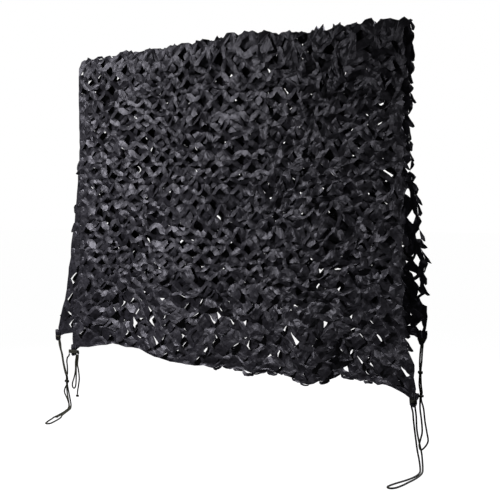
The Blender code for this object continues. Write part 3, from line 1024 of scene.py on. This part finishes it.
# %% The kinds of leaf
Kind = namedtuple("Kind", Leaf._fields)
KINDS = {
    "snug": Kind(
        rise=(-38, 8), bend=(-0.1, 0.2), reach=(0.85, 1.10), skew=(-0.15, 0.15), droop=(0, 0),
        turn=(-0.16, 0.16), twist=(-0.4, 0.4), tuck=(0.008, 0.008), widths=(0.94, 0.86, 0.68)),
    "dark": Kind(
        rise=(-46, 0), bend=(-0.1, 0.2), reach=(0.85, 1.10), skew=(-0.15, 0.15), droop=(0, 0),
        turn=(-0.16, 0.16), twist=(-0.4, 0.4), tuck=(0.008, 0.008), widths=(0.92, 0.80, 0.55)),
    "proud": Kind(
        rise=(0, 30), bend=(-0.6, 0.0), reach=(1.00, 1.50), skew=(-0.15, 0.15), droop=(0, 0.25),
        turn=(-0.25, 0.25), twist=(-0.4, 0.4), tuck=(0, 0), widths=(0.92, 0.70, 0.30)),
    "slim": Kind(
        rise=(4, 26), bend=(-0.3, -0.3), reach=(1.00, 1.50), skew=(0, 0), droop=(0, 0.3),
        turn=(-0.2, 0.2), twist=(-0.4, 0.4), tuck=(-0.001, -0.001), widths=(0.66, 0.52, 0.20)),
    "backing": Kind(
        rise=(-12, 12), bend=(0, 0), reach=(1.05, 1.20), skew=(-0.15, 0.15), droop=(0, 0),
        turn=(-0.08, 0.08), twist=(-0.4, 0.4), tuck=(0.004, 0.004), widths=(1.14, 1.32, 1.16)),
    "covering": Kind(
        rise=(-16, 27), bend=(-0.1, -0.1), reach=(1.25, 1.45), skew=(-0.15, 0.15), droop=(0, 0),
        turn=(-0.06, 0.06), twist=(-0.4, 0.4), tuck=(-0.003, 0.003), widths=(1.14, 1.32, 1.16)),
    "open": Kind(
        rise=(-12, 6), bend=(0, 0), reach=(0.96, 1.08), skew=(-0.5, 0.5), droop=(0, 0),
        turn=(-0.08, 0.08), twist=(-0.2, 0.2), tuck=(0.002, 0.002), widths=(1.14, 1.32, 1.16)),
    "fold": Kind(
        rise=(-30, 14), bend=(-0.4, -0.1), reach=(0.65, 1.00), skew=(-0.15, 0.15), droop=(0, 0),
        turn=(-0.3, 0.3), twist=(-0.6, 0.6), tuck=(0, 0), widths=(1.00, 1.00, 0.85)),
    "edge": Kind(
        rise=(-20, 25), bend=(-0.2, 0.2), reach=(0.40, 1.30), skew=(-0.3, 0.3), droop=(0, 0),
        turn=(-0.4, 0.4), twist=(-0.6, 0.6), tuck=(0, 0), widths=(1.00, 0.92, 0.50)),
}


def new_leaf(chance, name):
    """A leaf of one kind, with each measure somewhere in the kind's range."""
    kind = KINDS[name]
    measures = [chance.uniform(*span) for span in kind[:-1]]
    return Leaf(*measures, kind.widths)


print(len(KINDS), "kinds of leaf")

# %% [markdown]
# ## Which leaf goes where
#
# The kind depends on the place: on the fold, on the single layer below the back hem, on
# the back layer's bare right edge, or anywhere else. The rest is chance.

# %% Choose the kind for a window
FRONT_SINGLE = 0.76     # where the front layer has no cloth behind it, as a share of its rows
BACK_SINGLE = 0.70      # and where the back layer shows past the front one
RIGHT_SIDE = (0.4, 0.9)     # from where to where the leaves grow unruly, across the net
PROUD_SHARE = 0.2       # leaves that stand proud on the left
PROUD_RIGHT = 0.4       # and what the right adds
PROUD_LESS = 0.3        # times that in a single layer and in the back one
PROUD_TOP = (0.4, 1.6)  # rows below the fold over which they begin
PROUD_HEM = (0.6, 1.4)  # rows above the hem over which they end
TOP_ROWS = 2.5          # rows near the fold where some windows stand open
TOP_OPEN = 0.2          # how many of them do
OPEN_SHARE = 0.15       # windows that stand open in a single layer, on the left
OPEN_RIGHT = 0.22       # and what the right adds
BARE_COLUMNS = 1.6      # how much of the back layer shows past the front one's right edge
BARE_FROM = 4           # rows below the fold
BARE_OPEN = 0.6         # how many windows stand open there
DARK_TOP = 0.8          # dark leaves at the fold, among those that lie behind the strands
DARK_ROWS = (3.0, 1.0)  # rows below the fold over which they grow so many


def share_proud(sheet, row, single, right):
    """How many leaves stand proud in a place."""
    proud = (PROUD_SHARE + PROUD_RIGHT * right) * soft_step(*PROUD_TOP, row)
    if single or sheet.side < 0:
        proud *= PROUD_LESS
    return proud * soft_step(*PROUD_HEM, rows_from_hem(row * sheet.side))


def share_open(sheet, column, row, single, right):
    """How many windows stand open in a place."""
    if single:
        return (OPEN_SHARE + OPEN_RIGHT * right) * near_corner(column, row * sheet.side) ** 4
    if sheet.side < 0 and column > COLUMNS - BARE_COLUMNS and row > BARE_FROM:
        return BARE_OPEN
    return TOP_OPEN if row < TOP_ROWS else 0.0


def leaf_kind(sheet, column, row):
    """The kind of leaf that a window has."""
    if row == 0:
        return "fold"
    chance = sheet.chance
    front = sheet.side > 0
    single = row > (FRONT_SINGLE * FRONT_ROWS if front else BACK_SINGLE * BACK_ROWS)
    right = soft_step(*RIGHT_SIDE, column / COLUMNS)
    if chance.random() < share_proud(sheet, row, single, right):
        return "proud"
    if chance.random() < share_open(sheet, column, row, single, right):
        return "open"
    if single:
        return "covering"
    if not front:
        return "backing"
    dark = max(right, DARK_TOP * soft_step(*DARK_ROWS, row))
    return "dark" if chance.random() < dark else "snug"


print("single layer from row", round(FRONT_SINGLE * FRONT_ROWS, 1), "of", FRONT_ROWS)

# %% [markdown]
# ## A window
#
# A window takes eight points from its neighbours: the four places where strands meet and
# the middles of the four strands. Eight more points of its own lie further in, and the
# ring of faces between them is this window's half of the strands. An inner point is
# raised or lowered by its strand's lean, which is what tips the strand. The leaf mostly
# hangs from one of the two upper sides.

# %% Hang a leaf in a window
UPPER_SIDES = (0, 6)    # where each side starts among the window's eight points
LOWER_SIDES = (2, 4)


def hang_leaf(sheet, inner, side, kind):
    """A leaf from one side of a window towards the opposite one."""
    root = [inner[(side + 2) % 8], inner[side + 1], inner[side]]
    opposite = [inner[(side + step) % 8].co for step in (4, 5, 6)]
    add_leaf(sheet, root, opposite, new_leaf(sheet.chance, kind))


print("a window has", len(UPPER_SIDES + LOWER_SIDES), "sides and 8 points")

# %% A window with its leaf
OPENING = 0.58          # size of a window against its diamond
OPENING_DIFFERS = (0.94, 1.06)      # times that, by chance
FLATTER = 0.85          # a strand curls back a little towards its edge
INNER_UNEVEN = 0.25     # unevenness of its edge, as a share of the meeting points'
COMPASS = ((0.0, -0.5), (0.5, 0.0), (0.0, 0.5), (-0.5, 0.0))     # up, right, down, left
SIDE_WEIGHTS = (4, 4, 1, 1)         # how often a leaf hangs from an upper or a lower side
SLIM_SHARE = 0.50       # windows on the right that have a second, narrow leaf
SLIM_RIGHT = (0.5, 0.75)    # from where to where that share is reached, across the net
SLIM_HEM = (1.0, 1.5)   # rows above the hem over which it ends


def window_ring(sheet, column, row):
    """The eight points round a window, and how steeply the cloth rises from each."""
    corners = [(column + right, row + down) for right, down in COMPASS]
    outer = []
    lifts = []
    for index in range(4):
        strand, lean = between(sheet, corners[index], corners[(index + 1) % 4])
        outer += [meeting(sheet, *corners[index]), strand]
        towards = 1 if index in (0, 3) else -1      # a window's upper strands end below
        lifts += [None, towards * math.tan(lean)]
    for index in (0, 2, 4, 6):
        lifts[index] = (lifts[index - 1] + lifts[index + 1]) / 2
    return outer, lifts


def add_window(sheet, column, row):
    """A diamond of strands round one window, with the window's own leaf."""
    chance = sheet.chance
    outer, lifts = window_ring(sheet, column, row)
    centre = sum((vert.co for vert in outer), Vector()) / 8
    inner = []
    for vert, lift in zip(outer, lifts):
        place = vert.co.lerp(centre, 1 - OPENING * chance.uniform(*OPENING_DIFFERS))
        width = in_metres(place - vert.co)
        width.z = 0.0
        place.z = vert.co.z + lift * width.length * FLATTER
        place.z += INNER_UNEVEN * UNEVEN * chance.uniform(-1, 1)
        inner.append(sheet.mesh.verts.new(place))
    for index in range(8):
        following = (index + 1) % 8
        sheet.mesh.faces.new((outer[index], outer[following], inner[following], inner[index]))
    side = chance.choices(UPPER_SIDES + LOWER_SIDES, weights=SIDE_WEIGHTS)[0]
    hang_leaf(sheet, inner, side, leaf_kind(sheet, column, row))
    slim = SLIM_SHARE * soft_step(*SLIM_RIGHT, column / COLUMNS)
    slim *= soft_step(*SLIM_HEM, rows_from_hem(row))
    if side in UPPER_SIDES and sheet.side > 0 and chance.random() < slim:
        hang_leaf(sheet, inner, 6 - side, "slim")


print("a window is", OPENING, "of its diamond")

# %% Windows over a layer and over the line
def add_windows(sheet, rows):
    """Windows over a whole layer: one in each diamond."""
    for step in range(1, 2 * rows):
        row = step / 2
        staggered = row % 1 == 0
        for number in range(COLUMNS if staggered else COLUMNS - 1):
            add_window(sheet, number + (0.5 if staggered else 1), row)


def add_fold(sheet):
    """The windows that lie over the line, half on either side."""
    for number in range(COLUMNS):
        add_window(sheet, number + 0.5, 0)


print(COLUMNS, "windows lie over the line")

# %% [markdown]
# ## The edges
#
# Between an edge and the first windows the cloth is whole. These triangles close the
# layer, and a crumpled middle keeps them from looking like card. The photo's right edge
# and the right half of its hem are ragged with the leaves that stick out past them, so
# short tongues are added there. The left edge is nearly clean. The back layer's right
# edge shows past the front one against the white, and has gaps.

# %% Whole cloth along an edge
CRUMPLE = 0.010         # how far the whole cloth is crumpled


def add_border(sheet, tip, first, second, gap=None):
    """The triangle between an edge and the first windows, less its gap. Gives the edge's points."""
    points = []
    for start, end in ((tip, first), (first, second), (second, tip)):
        points += [meeting(sheet, *start), between(sheet, start, end)[0]]
    centre = sheet.mesh.verts.new(sum((vert.co for vert in points), Vector()) / 6)
    aside, upright = soft_edge(tip[0], tip[1] * sheet.side)
    centre.co.z += CRUMPLE * sheet.chance.uniform(-1, 1) * max(aside, upright)
    for index in (1, 3, 5):
        if index != gap:
            corners = (points[index], points[(index + 1) % 6], points[(index + 2) % 6], centre)
            sheet.mesh.faces.new(corners)
    return points[2:5]


def add_tongue(sheet, start, end, step):
    """A tongue of cloth that sticks out past an edge, from one stretch of it."""
    root = [start, sheet.mesh.verts.new(start.co.lerp(end.co, 0.5)), end]
    opposite = [vert.co + step for vert in root]
    add_leaf(sheet, root, opposite, new_leaf(sheet.chance, "edge"))


print("edges are crumpled by up to", CRUMPLE * 1000, "mm")

# %% The edges of a layer
LEFT_SHARE = 0.20       # how many stretches of the left edge have a tongue
RIGHT_SHARE = 0.92      # of the right edge
HEM_SHARE = 0.75        # and of the hem
CALM_ROWS = 2           # rows above the hem where the right edge has none
HEM_FROM = (0.3, 0.5)   # from where to where tongues begin along the hem
HEM_UNTIL = (0.97, 0.85)    # and where they end, the far end first
TORN_FROM = 6           # rows below the fold where the back layer's right edge has gaps
TORN_SHARE = 0.80       # and how many of its stretches have one
GAPS = (1, 5)           # the part of a border triangle that the gap takes
TO_LEFT = Vector((-0.10, 0.10, 0.0))    # where the tongues reach, in repeats
TO_RIGHT = Vector((0.20, 0.14, 0.0))
DOWN = Vector((0.0, 0.14, 0.0))


def add_sides(sheet, rows):
    """Both side edges of a layer, and the tongues beyond them."""
    chance = sheet.chance
    for top in range(rows):
        edge = add_border(sheet, (0.5, top + 0.5), (0, top + 1), (0, top))
        if chance.random() < LEFT_SHARE:
            add_tongue(sheet, edge[1], edge[2], TO_LEFT)
        torn = sheet.side < 0 and top >= TORN_FROM and chance.random() < TORN_SHARE
        gap = chance.choice(GAPS) if torn else None
        tip = (COLUMNS - 0.5, top + 0.5)
        edge = add_border(sheet, tip, (COLUMNS, top), (COLUMNS, top + 1), gap)
        for start, end in zip(edge, edge[1:]):
            if chance.random() < RIGHT_SHARE and top < rows - CALM_ROWS:
                add_tongue(sheet, start, end, TO_RIGHT)


def add_hem(sheet, rows):
    """The hem of a layer, and the tongues beyond it."""
    for number in range(COLUMNS):
        edge = add_border(sheet, (number + 0.5, rows - 0.5), (number + 1, rows), (number, rows))
        across = number / COLUMNS
        share = HEM_SHARE * soft_step(*HEM_FROM, across) * soft_step(*HEM_UNTIL, across)
        for start, end in zip(edge, edge[1:]):
            if sheet.chance.random() < share:
                add_tongue(sheet, start, end, DOWN)


print("the front layer has", 2 * FRONT_ROWS + COLUMNS, "border triangles")

# %% [markdown]
# ## Gathered corners
#
# Where a tie is knotted on, the corner of the net is drawn together like the neck of a
# sack: it pleats, runs through the knot and flares a little below it. A few rings of
# points round the knot, pushed in and out in turn, make those pleats.

# %% A gathered corner
BUNCH_SIDES = 24        # a ridge and a groove by turns
BUNCH_PLEAT = 0.14      # depth of the pleats, as a share of the ring
BUNCH_UNEVEN = 0.3      # how much the rings differ by chance
BUNCH_FINE = 40         # how fast that changes on the way down
BUNCH_NOISE = 3.3       # where in the noise it is read
RIM_UNEVEN = 0.004      # unevenness of the rings' height, metres
RIM_NOISE = 7.7

BunchRing = namedtuple("BunchRing", "height wide deep")     # metres from the knot's middle
BUNCH_RINGS = (
    BunchRing(0.036, 0.024, 0.005),
    BunchRing(0.022, 0.024, 0.008),
    BunchRing(0.010, 0.020, 0.007),
    BunchRing(0.000, 0.018, 0.006),
    BunchRing(-0.008, 0.018, 0.007),
    BunchRing(-0.014, 0.017, 0.007),
    BunchRing(-0.021, 0.008, 0.004),
)


def add_bunch(mesh, knot):
    """Pleated cloth that runs through its knot and flares below."""
    rings = []
    for level in BUNCH_RINGS:
        ring = []
        for index in range(BUNCH_SIDES):
            turn = 2 * math.pi * index / BUNCH_SIDES
            uneven = noise.noise(Vector((turn, level.height * BUNCH_FINE, BUNCH_NOISE)))
            pleat = 1 - BUNCH_PLEAT + BUNCH_PLEAT * (-1) ** index + BUNCH_UNEVEN * uneven
            local = Vector((level.wide * math.cos(turn), level.deep * math.sin(turn), 0.0)) * pleat
            rim = noise.noise(Vector((turn * 2, RIM_NOISE, level.height)))
            local.z = level.height + RIM_UNEVEN * rim
            ring.append(mesh.verts.new(middle(knot) + local))
        rings.append(ring)
    join_rings(mesh, rings)


print("a gathered corner has", BUNCH_SIDES // 2, "pleats")

# %% [markdown]
# ## From flat to hanging
#
# Now each point of the flat net goes to its hanging place, and its height is laid off
# along the direction that the cloth faces there. A soft limit keeps any leaf from
# standing out too far. Then every face is split in four, and the finer points are
# pushed by smooth noise, which gives the small creases of crumpled cloth. A Solidify
# modifier makes the cloth 0.8 mm thick, so a leaf shows a real edge.

# %% Hang a layer
REACH_OUT = 0.026       # no leaf stands out further than this


def hang_sheet(sheet):
    """Take every point of the flat layer to its hanging place."""
    for vert in sheet.mesh.verts:
        column, row, height = vert.co
        row *= sheet.side
        height = REACH_OUT * math.tanh(height / REACH_OUT)
        vert.co = gather(column, row) + height * outward(column, row)


print("leaves stand out by up to", REACH_OUT * 1000, "mm")

# %% Crease a layer
CREASE = 0.0022         # depth of the small creases
CREASE_SIZE = 0.024     # and their size
CREASE_MORE = 1.2       # how much deeper they are where the cloth is muddled
MUDDLED_SIDE = (-0.3, 0.6)      # from where to where that grows, in metres


def crease_sheet(mesh):
    """Split every face in four, and push the points by smooth noise."""
    bmesh.ops.subdivide_edges(mesh, edges=mesh.edges[:], cuts=1, use_grid_fill=True)
    for vert in mesh.verts:
        crease = CREASE * (1 + CREASE_MORE * soft_step(*MUDDLED_SIDE, vert.co.x))
        vert.co += crease * noise.noise_vector(vert.co / CREASE_SIZE)
    bmesh.ops.recalc_face_normals(mesh, faces=mesh.faces[:])


print("creases are", CREASE * 1000, "to", round(CREASE * (1 + CREASE_MORE) * 1000, 1), "mm deep")

# %% Finish a layer
THICKNESS = 0.0008


def finish_layer(name, sheet):
    """Hang the flat layer, crease it and give the cloth its thickness."""
    hang_sheet(sheet)
    for (_, side), knot in CORNER_KNOTS.items():
        if side == sheet.side:
            add_bunch(sheet.mesh, knot)
    crease_sheet(sheet.mesh)
    piece = new_piece(name, sheet.mesh)
    shell = piece.modifiers.new("thickness", "SOLIDIFY")
    shell.thickness = THICKNESS
    shell.offset = 0.0
    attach(piece, "root")
    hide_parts("net")
    return piece


print("cloth is", THICKNESS * 1000, "mm thick")

# %% [markdown]
# ## The two layers
#
# The front layer and the back layer are made the same way, from different random
# numbers, and each becomes one piece. The windows that lie over the line itself are
# made with the back layer. Their points on the line are the same as the front layer's,
# so the two pieces meet there.

# %% Make the front layer
FRONT_SEED = 21

front_sheet = Sheet(1, FRONT_SEED)
add_windows(front_sheet, FRONT_ROWS)
add_sides(front_sheet, FRONT_ROWS)
add_hem(front_sheet, FRONT_ROWS)
net_front = finish_layer("net_front", front_sheet)
print("the front layer has", len(net_front.data.polygons), "faces on one side")

# %% Make the back layer and the fold
BACK_SEED = 22

back_sheet = Sheet(-1, BACK_SEED)
add_windows(back_sheet, BACK_ROWS)
add_sides(back_sheet, BACK_ROWS)
add_hem(back_sheet, BACK_ROWS)
add_fold(back_sheet)
net_back = finish_layer("net_back", back_sheet)
print("the back layer has", len(net_back.data.polygons), "faces on one side")

# %% [markdown]
# ## Black cloth
#
# The cloth is a thin black polyester, cut and left soft. It isn't a deep flat black: in
# the light it is a dark grey with a faint violet cast, and it has a slight sheen where
# it is smoothed and less where it is creased. One noise texture gives all three, the
# tone, the roughness and a fine bump, so the three change together as they do on a real
# crease. The noise is laid out in the object's own metres, so it stays in place from
# every side.

# %% A material that follows one noise
def new_material(name):
    """A material with a Principled shader, and that shader's node."""
    material = bpy.data.materials.new(name)
    material.use_nodes = True
    return material, material.node_tree.nodes["Principled BSDF"]


def grained_material(name, fineness, detail, tones, relief, depth):
    """A material whose tone and fine bump both follow one noise. Gives its shader and grain too."""
    material, shader = new_material(name)
    nodes = material.node_tree.nodes
    links = material.node_tree.links
    place = nodes.new("ShaderNodeTexCoord")
    grain = nodes.new("ShaderNodeTexNoise")
    grain.inputs["Scale"].default_value = fineness
    grain.inputs["Detail"].default_value = detail
    links.new(place.outputs["Object"], grain.inputs["Vector"])
    tone = nodes.new("ShaderNodeValToRGB")
    for element, (position, colour) in zip(tone.color_ramp.elements, tones):
        element.position = position
        element.color = (*colour, 1.0)
    links.new(grain.outputs["Fac"], tone.inputs["Fac"])
    links.new(tone.outputs["Color"], shader.inputs["Base Color"])
    bump = nodes.new("ShaderNodeBump")
    bump.inputs["Strength"].default_value = relief
    bump.inputs["Distance"].default_value = depth
    links.new(grain.outputs["Fac"], bump.inputs["Height"])
    links.new(bump.outputs["Normal"], shader.inputs["Normal"])
    return material, shader, grain


print("materials so far:", len(bpy.data.materials))

# %% The cloth's material
CLOTH_TONES = (
    (0.35, (0.0050, 0.0046, 0.0064)),       # where on the noise, and the colour there
    (0.70, (0.0150, 0.0141, 0.0182)),
)
SMOOTHED = 0.38         # roughness where the cloth is smoothed
CREASED = 0.62          # and where it is creased

cloth_look, cloth_shader, creases = grained_material(
    "black_net_cloth", fineness=60.0, detail=4.0, tones=CLOTH_TONES, relief=0.5, depth=0.004)
cloth_shader.inputs["Specular IOR Level"].default_value = 0.5
cloth_shader.inputs["Sheen Weight"].default_value = 0.03
cloth_shader.inputs["Sheen Roughness"].default_value = 0.4
gloss = cloth_look.node_tree.nodes.new("ShaderNodeMapRange")
gloss.inputs["To Min"].default_value = SMOOTHED
gloss.inputs["To Max"].default_value = CREASED
cloth_look.node_tree.links.new(creases.outputs["Fac"], gloss.inputs["Value"])
cloth_look.node_tree.links.new(gloss.outputs["Result"], cloth_shader.inputs["Roughness"])
for piece in (net_front, net_back):
    piece.data.materials.append(cloth_look)
print("cloth material has", len(cloth_look.node_tree.nodes), "nodes")

# %% [markdown]
# ## Olive cord
#
# The ties are a matt olive cord, so dark that it looks nearly black against the pale
# ground. The tube already has the braid's relief. The material adds what is finer than
# that: short specks of lighter and darker fibre and a very small bump.

# %% The cord's material
CORD_TONES = (
    (0.35, (0.0100, 0.0108, 0.0040)),
    (0.68, (0.0300, 0.0310, 0.0120)),
)

cord_look, cord_shader, _ = grained_material(
    "olive_cord", fineness=420.0, detail=3.0, tones=CORD_TONES, relief=0.4, depth=0.0006)
cord_shader.inputs["Roughness"].default_value = 0.72
cord_shader.inputs["Specular IOR Level"].default_value = 0.3
for piece in list(tie_pieces.values()) + list(knot_pieces.values()):
    piece.data.materials.append(cord_look)
print("cord material has", len(cord_look.node_tree.nodes), "nodes")

# %% [markdown]
# ## The floor
#
# The photo has been cut out on white, so the floor should look white without a horizon.
# The floor glows by itself for that, but it is hidden from reflected light, or it would
# light the net from below and wash out the black. The two long ties lie on it.

# %% Lay the floor
WHITE = (1.0, 1.0, 1.0, 1.0)
GREY = (0.10, 0.10, 0.10, 1.0)
FLOOR_GLOW = 0.985
FLOOR_REACH = 40.0      # half its width
FLOOR_TOP = LYING - CORD_RADIUS     # the long ties lie on it

floor_mesh = bmesh.new()
corners = []
for right, back in ((-1, -1), (1, -1), (1, 1), (-1, 1)):
    corners.append(floor_mesh.verts.new((right * FLOOR_REACH, back * FLOOR_REACH, FLOOR_TOP)))
floor_mesh.faces.new(corners)
floor = new_piece("floor", floor_mesh)
floor.visible_diffuse = False
floor.visible_glossy = False
floor_look, floor_shader = new_material("pale_floor")
floor_shader.inputs["Base Color"].default_value = GREY
floor_shader.inputs["Roughness"].default_value = 0.9
floor_shader.inputs["Emission Color"].default_value = WHITE
floor_shader.inputs["Emission Strength"].default_value = FLOOR_GLOW
floor.data.materials.append(floor_look)
print("the floor is at", round(FLOOR_TOP, 4), "m")

# %% [markdown]
# ## The light
#
# The surround is white to the camera and nearly dark as a light, so that the lamps alone
# shape the cloth. The key lamp stands high to the left in front of the net, and its
# light grazes the cloth from above: each strand and each leaf catches it on its upper
# face and drops a shadow below. That's why the left side of the photo is brighter than
# the right. A weak fill lamp on the right keeps the shadows from closing, and one
# behind the net gives the back its light.

# %% Set up the surround
SEEN = 1.0              # how bright the white is to the camera
AS_LIGHT = 0.035        # and as a light on the cloth

world = bpy.data.worlds.new("studio")
world.use_nodes = True
surround = world.node_tree.nodes["Background"]
surround.inputs["Color"].default_value = WHITE
ray = world.node_tree.nodes.new("ShaderNodeLightPath")
dim = world.node_tree.nodes.new("ShaderNodeMapRange")
dim.inputs["To Min"].default_value = AS_LIGHT
dim.inputs["To Max"].default_value = SEEN
world.node_tree.links.new(ray.outputs["Is Camera Ray"], dim.inputs["Value"])
world.node_tree.links.new(dim.outputs["Result"], surround.inputs["Strength"])
bpy.context.scene.world = world
bpy.context.scene.view_settings.view_transform = "Standard"
print("the surround lights the cloth with", AS_LIGHT, "of its white")

# %% Set up the lamps
LAMP_COLOUR = (0.90, 0.88, 1.0)     # white with a faint violet
Lamp = namedtuple("Lamp", "name place aim size spread power")     # metres, degrees, watts
LAMPS = (
    Lamp("key", (-2.7, -2.9, 1.9), (-0.6, 0.0, -2.7), 0.7, 68, 60.0),
    Lamp("fill", (3.6, -2.2, -0.2), (0.6, 0.0, -0.9), 1.6, 70, 2.5),
    Lamp("back", (1.6, 3.4, 1.6), (0.2, 0.0, -1.6), 1.6, 80, 60.0),
)
for lamp in LAMPS:
    lamp_data = bpy.data.lights.new(lamp.name, "AREA")
    lamp_data.shape = "DISK"
    lamp_data.size = lamp.size
    lamp_data.energy = lamp.power
    lamp_data.spread = math.radians(lamp.spread)
    lamp_data.color = LAMP_COLOUR
    lamp_stand = bpy.data.objects.new(lamp.name, lamp_data)
    lamp_stand.location = lamp.place
    towards = Vector(lamp.aim) - Vector(lamp.place)
    lamp_stand.rotation_euler = towards.to_track_quat("-Z", "Y").to_euler()
    bpy.context.scene.collection.objects.link(lamp_stand)
print(len(LAMPS), "lamps")
